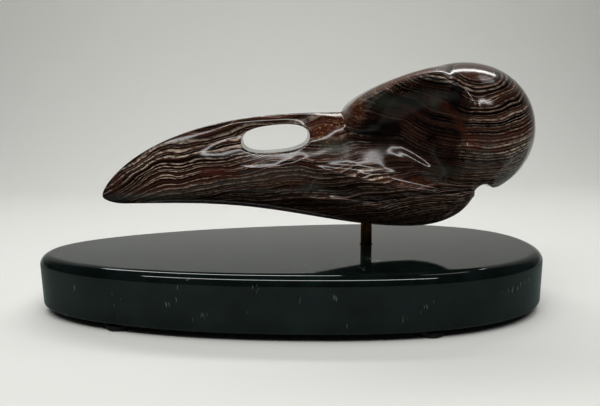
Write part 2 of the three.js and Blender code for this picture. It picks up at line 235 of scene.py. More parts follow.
class SkullSettings(PropertyGroup):
    cranium_half_width: size("Cranium", "Half width of the cranium", mm(20.5))
    brow_half_width: size("Brow", "Half width of the brow at its front end", mm(10.2))
    bill_half_width: size("Bill", "Half width of the bill at its root", mm(12.5))
    jaw_half_width: size("Jaw", "Half width of the jaw", mm(13.5))
    band_spacing: size("Band spacing", "Usual distance between two pale lines of the stone", mm(0.9))
    roughness: share("Polish", "Roughness of the polished stone", 0.13)
    ground: colour("Ground", "Dark brown of the stone", "#25150F")
    brown: colour("Brown", "Red-brown layers of the stone", "#4E3226")
    band: colour("Band", "Pale lines of the stone", "#F0DAC6")
    vein: colour("Vein", "Black veins of the stone", "#090504")
    rust: colour("Rust", "Red-brown patches of the stone", "#4C291E")
    moss: colour("Moss", "Grey-green patches of the stone", "#44473F")
    fleck: colour("Fleck", "Gold flecks of the stone", "#C79A5B")


class BaseSettings(PropertyGroup):
    top_round: size("Top round", "Radius of the rounded top edge", mm(2.8))
    bottom_round: size("Bottom round", "Radius of the rounded lower edge", mm(1.4))
    polish: share("Polish", "Roughness of the polished top", 0.05)
    stone: colour("Stone", "Dark green of the stone", "#0B1412")
    cloud: colour("Cloud", "Lighter green clouds of the stone", "#1B2725")
    mark: colour("Mark", "Pale inclusions of the stone", "#6F7F78")


class FittingSettings(PropertyGroup):
    pin_chamfer: size("Pin chamfer", "Broken edge at the pin's ends", mm(0.25))
    foot_round: size("Foot round", "Radius of the feet's lower edge", mm(0.7))
    brass: colour("Brass", "Clean brass of the pin", "#B98A45")
    tarnish: colour("Tarnish", "Dark brown tarnish of the pin", "#2B1D0D")
    rubber: colour("Rubber", "Dark rubber of the feet", "#15130F")


class StageSettings(PropertyGroup):
    eye_place: FloatVectorProperty(
        name="Camera", description="Place of the camera", default=mm(-1.73, -134.06, 51.19),
        precision=5, subtype="TRANSLATION", unit="LENGTH")
    pitch: degrees("Pitch", "How far the camera looks down", 9.61)
    yaw: degrees("Yaw", "How far the camera is turned to the left", -1.78)
    roll: degrees("Roll", "How far the camera is tilted", -0.56)
    lens: FloatProperty(name="Lens", description="Focal length", default=28.8, subtype="DISTANCE_CAMERA")
    strip_power: watts("Strip lights", "Power of each long light", 0.49)
    lamp_power: watts("Round light", "Power of the round light", 0.03)
    fill_power: watts("Fill light", "Power of the soft light", 3.1)
    floor: colour("Floor", "Pale floor and backdrop", "#E4E4E0")
    # Colour of the painted shade that the polished stone mirrors from the card
    card: colour("Card", "Grey card that only the polished stone mirrors", "#7E8986")


class CarvingSettings(PropertyGroup):
    skull: PointerProperty(type=SkullSettings)
    base: PointerProperty(type=BaseSettings)
    fittings: PointerProperty(type=FittingSettings)
    stage: PointerProperty(type=StageSettings)


# Modelling helpers

def start():
    """Object mode, with nothing selected."""
    if bpy.context.object and bpy.context.object.mode != "OBJECT":
        bpy.ops.object.mode_set(mode="OBJECT")
    bpy.ops.object.select_all(action="DESELECT")


def named(name):
    """The object just added, under its own name."""
    piece = bpy.context.object
    piece.name = name
    piece.data.name = name
    return piece


def settle():
    """Puts the active piece's place, turn and scale into its mesh."""
    bpy.ops.object.transform_apply(location=True, rotation=True, scale=True)


def coordinates(piece):
    """The piece's vertices as rows of x, y, z."""
    flat = np.empty(len(piece.data.vertices) * 3)
    piece.data.vertices.foreach_get("co", flat)
    return flat.reshape(-1, 3)


def reshape(piece, rows):
    """Moves the piece's vertices to rows of x, y, z."""
    piece.data.vertices.foreach_set("co", np.ascontiguousarray(rows, dtype=float).ravel())
    piece.data.update()


def face_outwards():
    """Turns all faces of the active piece outwards."""
    bpy.ops.object.mode_set(mode="EDIT")
    bpy.ops.mesh.select_all(action="SELECT")
    bpy.ops.mesh.normals_make_consistent(inside=False)
    bpy.ops.object.mode_set(mode="OBJECT")


def select_edges(piece, chosen):
    """Enters edit mode with the edges selected whose two ends are both chosen."""
    bpy.ops.object.mode_set(mode="EDIT")
    bpy.ops.mesh.select_mode(type="EDGE")
    bpy.ops.mesh.select_all(action="DESELECT")
    bpy.ops.object.mode_set(mode="OBJECT")
    picked = [chosen(vertex.co) for vertex in piece.data.vertices]
    for edge in piece.data.edges:
        edge.select = all(picked[i] for i in edge.vertices)
    bpy.ops.object.mode_set(mode="EDIT")


def round_rim(piece, height, radius, steps):
    """Rounds the edge of a piece at one height."""
    select_edges(piece, lambda end: abs(end.z - height) < WELD)
    bpy.ops.mesh.bevel(offset=radius, segments=steps, affect="EDGES", clamp_overlap=True)
    bpy.ops.object.mode_set(mode="OBJECT")


def inset_flats(piece):
    """Frames the flat top and bottom with a narrow ring, so that they shade flat."""
    bpy.ops.object.mode_set(mode="EDIT")
    bpy.ops.mesh.select_mode(type="FACE")
    bpy.ops.mesh.select_all(action="DESELECT")
    bpy.ops.object.mode_set(mode="OBJECT")
    for face in piece.data.polygons:
        face.select = len(face.vertices) > 4
    bpy.ops.object.mode_set(mode="EDIT")
    bpy.ops.mesh.inset(thickness=GAP)
    bpy.ops.object.mode_set(mode="OBJECT")


def cut(piece, cutter):
    """Cuts one closed shape out of a piece and throws the cutter away."""
    start()
    bpy.context.view_layer.objects.active = piece
    piece.select_set(True)
    hole = piece.modifiers.new("cut", "BOOLEAN")
    hole.operation = "DIFFERENCE"
    hole.solver = "MANIFOLD"
    hole.object = cutter
    bpy.ops.object.modifier_apply(modifier=hole.name)
    bpy.data.meshes.remove(cutter.data)


def finish_piece(piece, replaced, material):
    """Gives a piece its material and its place in the frame."""
    piece.data.materials.clear()
    piece.data.materials.append(material)
    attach(piece, "root")
    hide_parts(replaced)


# The skull's side view: half thickness at each (x, z)

def mix(a, b, t):
    """The value a share t of the way from a to b."""
    return a + (b - a) * t


def dome(square):
    """Height of a round section of radius 1, at the square of a distance from its middle."""
    return np.sqrt(np.maximum(1 - square, 0))


def squared(share_across, squareness):
    """A circle's share along one axis, moved out as in an oblong with squarer corners."""
    return np.sign(share_across) * np.abs(share_across) ** (2 / squareness)


def ease(value, low, high):
    """Smooth share of the way from low to high."""
    t = np.clip((value - low) / (high - low), 0, 1)
    return t * t * (3 - 2 * t)


def soft_max(a, b, k):
    """The larger of two heights, with a fillet of size k where they cross."""
    return np.maximum(a, b) + np.maximum(k - np.abs(a - b), 0) ** 2 / (4 * k)


def line_at(points, x):
    """Smooth height of a line of points at x."""
    px, pz = np.array(points).T
    before = np.maximum(np.arange(len(px)) - 1, 0)
    after = np.minimum(np.arange(len(px)) + 1, len(px) - 1)
    slope = (pz[after] - pz[before]) / (px[after] - px[before])
    place = np.clip(x, px[0], px[-1])
    i = np.clip(np.searchsorted(px, place) - 1, 0, len(px) - 2)
    span = px[i + 1] - px[i]
    t = (place - px[i]) / span
    smooth = t * t * (3 - 2 * t)
    lead = t * (1 - t) ** 2 * slope[i] * span
    trail = t * t * (1 - t) * slope[i + 1] * span
    return mix(pz[i], pz[i + 1], smooth) + lead - trail


def past_crown(x):
    """How far x is towards the back of the cranium: 0 at the crown and 1 at the back."""
    return np.abs((x - CROWN[0]) / (BACK[0] - CROWN[0])) ** BACK_FULLNESS


def culmen_line(x):
    """Top outline of the bill."""
    t = np.clip((x - TIP[0]) / (HINGE[0] - TIP[0]), 0, 1)
    return mix(TIP[1], HINGE[1], (1 - (1 - t) ** CULMEN_FLATNESS) ** CULMEN_BLUNTNESS)


def along_brow(x):
    """Share of the way along the brow, from the bill to the crown."""
    return np.clip((x - BROW[0]) / (CROWN[0] - BROW[0]), 0, 1)


def brow_line(x):
    """Top outline of the brow, which rises steeply behind the bill."""
    return mix(BROW[1], CROWN[1], (1 - (1 - along_brow(x)) ** BROW_FALL) ** BROW_BLUNTNESS)


def top_line(x):
    """Top outline: the culmen of the bill, the brow and the dome of the cranium."""
    culmen = culmen_line(x)
    brow = np.maximum(culmen, brow_line(x))
    back = BACK[1] + (CROWN[1] - BACK[1]) * dome(past_crown(x))
    return np.where(x < BROW[0], culmen, np.where(x < CROWN[0], brow, back))


def jaw_line(x):
    """Lower outline of the bill and the jaw."""
    t = np.clip((x - TIP[0]) / (CHIN[0] - TIP[0]), 0, 1)
    chin = mix(TIP[1], CHIN[1], (1 - (1 - t) ** 2) ** CHIN_BLUNTNESS)
    u = np.clip((x - CHIN[0]) / (JAW[0] - CHIN[0]), 0, 1)
    jaw = mix(CHIN[1], JAW[1], (0.5 - 0.5 * np.cos(np.pi * u)) ** JAW_SAG)
    past = ((x - JAW[0]) / (JAW_END[0] - JAW[0])) ** 2
    lobe = JAW_END[1] - (JAW_END[1] - JAW[1]) * dome(past)
    return np.where(x < CHIN[0], chin, np.where(x < JAW[0], jaw, lobe))


def bottom_line(x):
    """Lower outline of the whole skull."""
    return np.where(x < JAW_END[0], jaw_line(x), BACK[1] - OCCIPUT_DROP * dome(past_crown(x)))


def jaw_mass(x, z, sizes):
    """Half thickness of the bill and the jaw, with a crest along the cheek."""
    along = np.clip((x - TIP[0]) / (BILL_ROOT_X - TIP[0]), 0, 1)
    past = np.clip((x - JAW_WIDEST_X) / (JAW_END[0] - JAW_WIDEST_X), 0, 1)
    swell = np.clip((x - BILL_ROOT_X) / (JAW_WIDEST_X - BILL_ROOT_X), 0, 1)
    end = (1 - past ** JAW_SQUARENESS) ** (1 / JAW_SQUARENESS)
    width = mix(sizes.bill_half_width, sizes.jaw_half_width, swell) * along ** BILL_TAPER * end
    crest = line_at(CHEEK_LINE, x)
    roof = np.where(x < HINGE[0], culmen_line(x), line_at(SILL_LINE, x))
    reach = np.where(z > crest, roof - crest, crest - jaw_line(x))
    s = np.abs(z - crest) / np.maximum(reach, WELD)
    cheek = np.clip((x - CHEEK_FRONT_X) / (BILL_ROOT_X - CHEEK_FRONT_X), 0, 1)
    return width * dome(s ** mix(CREST_SHARPNESS, CHEEK_SHARPNESS, cheek))


def cranium_mass(x, z, sizes):
    """Half thickness of the cranium."""
    rise = np.where(z > BACK[1], CROWN[1] - BACK[1], OCCIPUT_DROP)
    return sizes.cranium_half_width * dome(past_crown(x) + ((z - BACK[1]) / rise) ** 2)


def brow_mass(x, z, sizes):
    """Half thickness of the brow, a flat roof between the eyes that rounds off into the cranium."""
    t = along_brow(x)
    floor = mix(BROW_FLOOR, BACK[1], t)
    nose = np.clip((x - BROW[0]) / BROW_NOSE, 0, 1)
    width = mix(sizes.brow_half_width, sizes.cranium_half_width, t ** BROW_SPREAD) * dome((1 - nose) ** 2)
    s = np.clip((z - floor) / (brow_line(x) - floor), 0, 1)
    bulge = ease(x, ROUND_FROM_X, ROUND_TO_X)
    flatness = mix(BROW_FLATNESS, 2, bulge)
    rounding = mix(BROW_ROUNDING, 0.5, bulge)
    roof = width * ease(z, BROW_FOOT, BROW_FULL) * (1 - s ** flatness) ** rounding
    return np.where((x < BROW[0]) | (x > CROWN[0]) | (z < floor), 0, roof)


def in_mark(centre, half, tilt, x, z):
    """Place of (x, z) in the slanted frame of an oblong mark, in half lengths and half heights."""
    dx = x - centre[0]
    dz = z - centre[1]
    u = (dx * math.cos(tilt) + dz * math.sin(tilt)) / half[0]
    v = (dz * math.cos(tilt) - dx * math.sin(tilt)) / half[1]
    return u, v


def spot(centre, spread, x, z):
    """A soft round share, 1 at its centre."""
    return np.exp(-((x - centre[0]) / spread[0]) ** 2 - ((z - centre[1]) / spread[1]) ** 2)


def bill_dish(x, z):
    """How far the nostril's rim and the groove before it are sunk."""
    u, v = in_mark(NOSTRIL, NOSTRIL_HALF, NOSTRIL_TILT, x, z)
    reach = (np.abs(u) ** NOSTRIL_SQUARENESS + np.abs(v) ** NOSTRIL_SQUARENESS) ** (1 / NOSTRIL_SQUARENESS)
    outside = np.maximum(reach - 1, 0) * NOSTRIL_HALF[1]
    gu, gv = in_mark(GROOVE, GROOVE_HALF, GROOVE_TILT, x, z)
    bevel = soft_max(1 - outside / RIM_WIDTH, 0, RIM_SOFTNESS)
    below, above = RIM_DEPTHS
    depth = mix(below * (1 - RIM_FADE * np.clip(u, -1, 1)), above, ease(v, -RIM_TURN, RIM_TURN))
    return depth * bevel + GROOVE_DEPTH * np.exp(-gu * gu - gv * gv)


def eye_wall(x, z):
    """Distance of the eye socket's wall from the middle plane."""
    u, v = in_mark((EYE[0], EYE[2]), (EYE_RADII[0], EYE_RADII[2]), EYE_TILT, x, z)
    down = np.hypot(np.minimum(v, 0), FLOOR_ROUND) - FLOOR_ROUND
    closing = np.where(v > 0, 1, ease(u, *FLOOR_CLOSES))
    return EYE[1] - EYE_RADII[1] * dome(u * u + closing * v * v) * np.maximum(1 - FLOOR_SLOPE * down, 0)


def carved_line(points, width, x, z):
    """Soft share of a carved line at (x, z): 1 on the line, fading at its ends."""
    ends = np.array(points)
    lengths = np.hypot(*np.diff(ends, axis=0).T)
    nearest = np.full(x.shape, np.inf)
    way = np.zeros(x.shape)
    for i, (a, b) in enumerate(zip(ends[:-1], ends[1:])):
        along = b - a
        t = np.clip(((x - a[0]) * along[0] + (z - a[1]) * along[1]) / (along @ along), 0, 1)
        gap = np.hypot(x - a[0] - t * along[0], z - a[1] - t * along[1])
        way = np.where(gap < nearest, (lengths[:i].sum() + t * lengths[i]) / lengths.sum(), way)
        nearest = np.minimum(nearest, gap)
    return np.exp(-(nearest / width) ** 2) * (1 - np.abs(2 * way - 1) ** TAPER_POWER)


def body_thickness(x, z, sizes):
    """Half thickness before the eye sockets are cut."""
    y = soft_max(jaw_mass(x, z, sizes), cranium_mass(x, z, sizes), BLEND)
    y = soft_max(y, brow_mass(x, z, sizes), mix(BLEND, GAP, along_brow(x)))
    return y - np.minimum(bill_dish(x, z), y * DEEPEST_DISH)


def half_thickness(x, z, sizes):
    """Half thickness of the skull at each point of its side view."""
    y = body_thickness(x, z, sizes)
    soft = np.clip((SILL_TOP - z) / (SILL_TOP - SILL_FOOT), 0, 1)
    blend = mix(RIM_BLEND, SILL_BLEND, soft) + LIP_BLEND * spot(LIP, LIP_SPREAD, x, z)
    y = -soft_max(-y, -eye_wall(x, z), blend)
    for points, width, height in CARVED_LINES:
        relief = height * carved_line(points, width, x, z)
        y = y + np.maximum(relief, -y * DEEPEST_DISH) * np.clip(y / THIN_EDGE, 0, 1)
    return np.maximum(y, 0)


# The skull

def carve_block(sizes):
    """A ball whose rings become sections across the skull."""
    start()
    bpy.ops.mesh.primitive_uv_sphere_add(segments=SECTION_POINTS, ring_count=SECTIONS, radius=1)
    block = named("raven_skull_carved")
    ball = coordinates(block)
    t = 1 - 2 * np.arccos(np.clip(ball[:, 2], -1, 1)) / np.pi
    around = np.arctan2(ball[:, 1], ball[:, 0])
    middle = (TIP[0] + BACK[0]) / 2
    reach = (BACK[0] - TIP[0]) / 2
    x = middle - reach * mix(t, np.sin(np.pi / 2 * t), END_CROWDING)
    top = top_line(x)
    bottom = bottom_line(x)
    z = (top + bottom) / 2 + (top - bottom) / 2 * np.sin(around)
    side = np.where(np.abs(np.cos(around)) < WELD, 0, np.sign(np.cos(around)))
    reshape(block, np.column_stack([x, side * half_thickness(x, z, sizes), z]))
    face_outwards()
    return block


def cross_bar(name, outline):
    """A bar of a side-view outline, right through the skull."""
    start()
    bpy.ops.mesh.primitive_cylinder_add(vertices=len(outline), radius=1, depth=2 * CUT_HALF_DEPTH)
    bar = named(name)
    rows = coordinates(bar)
    turn = np.arctan2(rows[:, 1], rows[:, 0]) / (2 * np.pi) * len(outline)
    place = np.round(turn).astype(int) % len(outline)
    flat = np.array(outline)[place]
    reshape(bar, np.column_stack([flat[:, 0], rows[:, 2], flat[:, 1]]))
    face_outwards()
    return bar


def upright_bar(name, radius, x, low, high, sides=ROD_SIDES):
    """An upright round bar."""
    start()
    bpy.ops.mesh.primitive_cylinder_add(
        vertices=sides, radius=radius, depth=high - low, location=(x, 0, (low + high) / 2))
    bar = named(name)
    settle()
    return bar


def nostril_outline():
    """The rounded oblong of the nostril."""
    angles = np.linspace(0, 2 * np.pi, NOSTRIL_POINTS, endpoint=False)
    u = squared(np.cos(angles), NOSTRIL_SQUARENESS) * NOSTRIL_HALF[0]
    v = squared(np.sin(angles), NOSTRIL_SQUARENESS) * NOSTRIL_HALF[1]
    x = NOSTRIL[0] + u * math.cos(NOSTRIL_TILT) - v * math.sin(NOSTRIL_TILT)
    z = NOSTRIL[1] + u * math.sin(NOSTRIL_TILT) + v * math.cos(NOSTRIL_TILT)
    return np.column_stack([x, z])


def notch_outline():
    """The notch and the flat underside of the cranium behind it."""
    outline = [NOTCH_LIP]
    for angle in np.linspace(*NOTCH_ARC, NOTCH_POINTS):
        outline.append((NOTCH[0] + NOTCH_RADIUS * math.cos(angle), NOTCH[1] + NOTCH_RADIUS * math.sin(angle)))
    outline += [JAW_END, (JAW_END[0] + NOTCH_CLEARANCE, JAW[1])]
    outline += [(NOTCH_REACH, JAW[1]), (NOTCH_REACH, NOTCH_LIP[1])]
    return outline


class CARVING_OT_skull(Operator):
    """Carve the raven's skull and polish it"""
    bl_idname = "carving.skull"
    bl_label = "Carve skull"

    def execute(self, context):
        settings = context.scene.carving.skull
        skull = carve_block(settings)
        cut(skull, cross_bar("nostril_cut", nostril_outline()))
        cut(skull, cross_bar("notch_cut", notch_outline()))
        below = SKULL_LOW.z - CUT_OVERRUN
        cut(skull, upright_bar("pin_cut", PIN_RADIUS + GAP, PIN_X, below, PIN_HIGH.z + GAP))
        skull.data.remesh_voxel_size = VOXEL
        bpy.ops.object.voxel_remesh()
        polish = skull.modifiers.new("polish", "SMOOTH")
        polish.factor = POLISH_STRENGTH
        polish.iterations = POLISH_PASSES
        bpy.ops.object.modifier_apply(modifier=polish.name)
        bpy.ops.object.shade_smooth()
        paint_stone(skull, settings)
        finish_piece(skull, "raven_skull", banded_stone(settings))
        return {"FINISHED"}


# Shader helpers

def node(tree, kind, inputs=None, stops=None, **settings):
    """Adds one node: its settings, its sockets' values or links, and a colour ramp's stops."""
    made = tree.nodes.new(kind)
    for name, value in settings.items():
        setattr(made, name, value)
    for name, value in (inputs or {}).items():
        if isinstance(value, NodeSocket):
            tree.links.new(value, made.inputs[name])
        else:
            made.inputs[name].default_value = value
    for i, (place, shade) in enumerate(stops or []):
        element = made.color_ramp.elements[i] if i < 2 else made.color_ramp.elements.new(place)
        element.position = place
        element.color = (*shade, 1)
    return made


def new_material(name, **constants):
    """A material with one shader, its constant values set on the shader's own sockets."""
    material = bpy.data.materials.new(name)
    material.use_nodes = True
    tree = material.node_tree
    shader = tree.nodes["Principled BSDF"]
    for socket, value in constants.items():
        shader.inputs[socket.replace("_", " ")].default_value = value
    return material, tree, shader


# Stone patches in the side view, and spots of painted shade: (centre, spread, amount)
RUST_SPOTS = (
    (mm(9, 49), mm(6, 4), 1),
    (mm(16, 55), mm(3.5, 5), 1),
    (mm(-2, 36), mm(10, 3), 0.7),
    (mm(28, 35.5), mm(12, 2), 0.7),
    (mm(-20, 38.2), mm(5, 1.3), 0.9),
    (mm(-48, 34.5), mm(1.4, 4), 0.7),
    (mm(30, 53), mm(8, 3), 0.5),
)
MOSS_SPOTS = (
    (mm(23, 56), mm(5, 2.4), 1),
    (mm(37, 56), mm(1.6, 3), 0.7),
    (mm(5.5, 34.4), mm(3.4, 1.2), 1),
    (mm(11, 45), mm(6, 2.4), 0.8),
    (mm(40, 38.5), mm(6, 2), 0.7),
    (mm(-36, 31), mm(14, 1.4), 0.8),
)
FLECK_SPOTS = (
    (mm(15.5, 55), mm(3.5, 5), 1),
    (mm(9, 48.5), mm(4.5, 4), 0.8),
    (mm(28, 59.6), mm(4, 1.2), 1),
    (mm(-4, 35), mm(8, 2), 0.5),
    (mm(30, 35), mm(10, 1.5), 0.4),
)
# Painted shade: in the eye socket's front corner, on its rear wall and floor, and along the undersides of the
# bill and the jaw
PAINTED_SHADE_SPOTS = (
    (mm(-50, 30.5), mm(5, 2), 0.9),
    (mm(-25, 30.2), mm(24, 1.4), 0.7),
    (mm(23.5, 49.3), mm(6, 2.8), 1.6),
    (mm(40.5, 56.4), mm(1.2, 3.6), 1.6),
    (mm(36, 47), mm(5, 3), 0.7),
    (mm(25, 22), mm(20, 2), 0.6),
)
PALE_SPOTS = (
    (mm(-33, 40), mm(15, 7), 1),
    (mm(-12, 45), mm(8, 6), 0.7),
    (mm(56, 46), mm(8, 9), 0.9),
    (mm(53, 61), mm(9, 4), 0.3),
    (mm(32, 44.5), mm(14, 2), 0.4),
    (mm(45, 32), mm(8, 3), 0.9),
    (mm(24, 37), mm(14, 3), 0.9),
    (mm(28, 29), mm(18, 4), 1),
)

# Pale lines are nowhere weaker than this, except in the hollows, where painted shade dims them
PALE_LEAST = 0.36

# Bands lie at heights in millimetres: they rise behind the bill's tip and slope from side to side
BAND_LIFT = 20
BAND_REACH = mm(26)
BAND_SLOPE = 0.5

# From the cheek to the cranium they crowd together about one height
BAND_MIDDLE = 30
BAND_CROWDING = 1.5
BAND_CROWDING_X = mm(10, 45)

# Painted shade: hollows are darker, and their pale lines dimmer, the deeper they are sunk
HOLLOW_SHADE = mm(0.3, 1.8)
HOLLOW_PAINTED_SHADE = 0.42
HOLLOW_LINE_SHADE = 0.8

# The brow's edges have lost their polish, and one slanting layer of rust crosses the crown
BROW_WEAR = mm(1.6)
BROW_WEAR_X = mm(34, 42)
BROW_WEAR_Y = mm(5, 9)
RUST_LAYER = mm(66)
RUST_LAYER_HALF = mm(2)
RUST_LAYER_SLOPE = 0.95
RUST_LAYER_X = mm(34, 58)
RUST_LAYER_AMOUNT = 0.7


def paint_stone(skull, sizes):
    """Stores on the skull where its bands run, where its patches lie, and where shade is painted."""
    x, y, z = coordinates(skull).T
    lift = BAND_LIFT * (1 - np.exp(-(x - TIP[0]) / BAND_REACH))
    crowding = mix(1, BAND_CROWDING, ease(x, *BAND_CROWDING_X))
    body = body_thickness(x, z, sizes)
    depth = z / mm(1) - lift - BAND_SLOPE * np.sign(y) * body / mm(1)
    layers = {"band": mix(BAND_MIDDLE, depth, crowding)}
    patches = {"rust": RUST_SPOTS, "moss": MOSS_SPOTS, "fleck": FLECK_SPOTS, "dark": PAINTED_SHADE_SPOTS,
               "pale": PALE_SPOTS}
    for name, spots in patches.items():
        amounts = [amount * spot(centre, spread, x, z) for centre, spread, amount in spots]
        layers[name] = np.clip(sum(amounts), 0, 1)
    layers["pale"] = np.maximum(layers["pale"], PALE_LEAST)
    across = np.exp(-((z - RUST_LAYER_SLOPE * y - RUST_LAYER) / RUST_LAYER_HALF) ** 2)
    within = (x > RUST_LAYER_X[0]) & (x < RUST_LAYER_X[1])
    layers["rust"] = np.maximum(layers["rust"], RUST_LAYER_AMOUNT * across * within)
    # Painted shade in the hollows: the deeper they are sunk, the darker they are and the dimmer their pale
    # lines
    sunk = ease(body - np.abs(y), *HOLLOW_SHADE)
    layers["dark"] = np.maximum(layers["dark"], HOLLOW_PAINTED_SHADE * sunk)
    layers["pale"] = layers["pale"] * (1 - HOLLOW_LINE_SHADE * sunk)
    edge = np.exp(-((brow_line(x) - z) / BROW_WEAR) ** 2) * ease(np.abs(y), *BROW_WEAR_Y)
    layers["dull"] = edge * ease(x, BROW[0], HINGE[0]) * (1 - ease(x, *BROW_WEAR_X))
    for name in ("rust", "fleck"):
        layers[name] = np.maximum(layers[name], layers["dull"])
    for name, values in layers.items():
        layer = skull.data.attributes.new(name, "FLOAT", "POINT")
        layer.data.foreach_set("value", values.astype(np.float32))


# Banded stone: real sizes of its pattern, and how it is drawn out along the skull
FOLD_SIZE = mm(14)
RIPPLE_SIZE = mm(4)
GRAIN_SIZE = mm(0.6)
CLOUD_SIZE = mm(5)
FLECK_SIZE = mm(0.5)
DRAWN_OUT = (0.35, 0.6, 1)

# Banded stone: how far its bands are shifted, in millimetres, and how often they change in each
FOLD_SHIFT = 5.0
RIPPLE_SHIFT = 1.5
DRIFT_SHIFT = 2.5
DRIFTS_PER_MM = 0.4
LAYERS_PER_MM = 0.7
CHANGES_PER_LINE = 0.8
LINE_HALF = (0.06, 0.32)

# Banded stone: how fully the painted shade and the patches cover it, and what smears and wear leave of its
# polish
PAINTED_SHADE_FULL = 0.42
PATCH_FULL = 0.48
PATCH_COVER = 0.88
SMEARS = (0.6, 1.6)
WORN_ROUGHNESS = 0.35
POLISHED_GLOSS = 0.5
WORN_GLOSS = 0.15


def banded_stone(looks):
    """Banded soapstone, carved and polished: a wet gloss over dark brown with wavering bands, and painted
    shade in its hollows and along its undersides.
    """
    material, tree, shader = new_material("banded_soapstone_polished", IOR=1.57)
    place = node(tree, "ShaderNodeTexCoord").outputs["Object"]
    layer = {}
    for name in ("band", "rust", "moss", "fleck", "dark", "dull", "pale"):
        layer[name] = node(tree, "ShaderNodeAttribute", attribute_name=name).outputs["Fac"]

    # Slow folds bend the bands, and so do ripples that are drawn out along the skull
    fold = node(tree, "ShaderNodeTexNoise", {"Vector": place, "Scale": 1 / FOLD_SIZE, "Detail": 1})
    stretched = node(tree, "ShaderNodeMapping", {"Vector": place, "Scale": DRAWN_OUT})
    ripple = node(tree, "ShaderNodeTexNoise",
                  {"Vector": stretched.outputs[0], "Scale": 1 / RIPPLE_SIZE, "Detail": 3, "Roughness": 0.6})
    bent = node(tree, "ShaderNodeMath", {0: fold.outputs["Fac"], 1: FOLD_SHIFT, 2: layer["band"]},
                operation="MULTIPLY_ADD")
    bent = node(tree, "ShaderNodeMath", {0: ripple.outputs["Fac"], 1: RIPPLE_SHIFT, 2: bent.outputs[0]},
                operation="MULTIPLY_ADD")

    # Layers of brown and black across that height, a few millimetres thick
    drift = node(tree, "ShaderNodeTexNoise",
                 {"W": bent.outputs[0], "Scale": DRIFTS_PER_MM, "Detail": 2, "Roughness": 0.6},
                 noise_dimensions="1D")
    height = node(tree, "ShaderNodeMath", {0: drift.outputs["Fac"], 1: DRIFT_SHIFT, 2: bent.outputs[0]},
                  operation="MULTIPLY_ADD")
    layers = node(tree, "ShaderNodeTexNoise",
                  {"W": height.outputs[0], "Scale": LAYERS_PER_MM, "Detail": 4, "Roughness": 0.7},
                  noise_dimensions="1D")
    stripes = node(tree, "ShaderNodeValToRGB", {"Fac": layers.outputs["Fac"]}, stops=[
        (0.40, looks.vein), (0.46, looks.ground), (0.52, looks.brown), (0.57, looks.ground),
        (0.62, looks.vein)])

    # Pale lines at even steps of that height, 0.1 to 0.6 mm thick and fading to their edges
    step = looks.band_spacing / mm(1)
    away = node(tree, "ShaderNodeMath", {0: height.outputs[0], 1: step / 2}, operation="PINGPONG")
    fullness = node(tree, "ShaderNodeTexNoise",
                    {"W": height.outputs[0], "Scale": CHANGES_PER_LINE / step, "Detail": 1},
                    noise_dimensions="1D")
    half = node(tree, "ShaderNodeMapRange",
                {"Value": fullness.outputs["Fac"], "From Min": 0.35, "From Max": 0.65,
                 "To Min": LINE_HALF[0], "To Max": LINE_HALF[1]})
    line = node(tree, "ShaderNodeMapRange",
                {"Value": away.outputs[0], "From Max": half.outputs[0], "To Min": 1.0, "To Max": 0.0})

    # Crumbly grain breaks the pale lines, and they are strong only where they were painted so; in the hollows
    # painted shade dims them
    grain = node(tree, "ShaderNodeTexNoise",
                 {"Vector": stretched.outputs[0], "Scale": 1 / GRAIN_SIZE, "Detail": 2, "Roughness": 0.7})
    whole = node(tree, "ShaderNodeMapRange",
                 {"Value": grain.outputs["Fac"], "From Min": 0.38, "From Max": 0.58, "To Min": 0.15})
    pale = node(tree, "ShaderNodeMath", {0: line.outputs[0], 1: whole.outputs[0]}, operation="MULTIPLY")
    pale = node(tree, "ShaderNodeMath", {0: pale.outputs[0], 1: layer["pale"]}, operation="MULTIPLY")
    tint = node(tree, "ShaderNodeMix",
                {0: pale.outputs[0], 6: stripes.outputs["Color"], 7: (*looks.band, 1)}, data_type="RGBA")

    # Patches, and the painted shade of the dark layer: the painted amount, broken up by a cloud
    cloud = node(tree, "ShaderNodeTexNoise",
                 {"Vector": place, "Scale": 1 / CLOUD_SIZE, "Detail": 4, "Roughness": 0.65})
    patches = (("dark", looks.vein, PAINTED_SHADE_FULL), ("rust", looks.rust, PATCH_FULL),
               ("moss", looks.moss, PATCH_FULL))
    for name, shade, full in patches:
        amount = node(tree, "ShaderNodeMath", {0: layer[name], 1: cloud.outputs["Fac"]}, operation="MULTIPLY")
        amount = node(tree, "ShaderNodeMapRange",
                      {"Value": amount.outputs[0], "From Min": 0.12, "From Max": full, "To Max": PATCH_COVER})
        tint = node(tree, "ShaderNodeMix",
                    {0: amount.outputs[0], 6: tint.outputs[2], 7: (*shade, 1)}, data_type="RGBA")

    # Gold flecks, where they were painted
    flecks = node(tree, "ShaderNodeTexNoise", {"Vector": place, "Scale": 1 / FLECK_SIZE, "Detail": 2})
    bright = node(tree, "ShaderNodeMapRange",
                  {"Value": flecks.outputs["Fac"], "From Min": 0.61, "From Max": 0.7})
    amount = node(tree, "ShaderNodeMath", {0: layer["fleck"], 1: bright.outputs[0]}, operation="MULTIPLY")
    tint = node(tree, "ShaderNodeMix",
                {0: amount.outputs[0], 6: tint.outputs[2], 7: (*looks.fleck, 1)}, data_type="RGBA")
    tree.links.new(tint.outputs[2], shader.inputs["Base Color"])

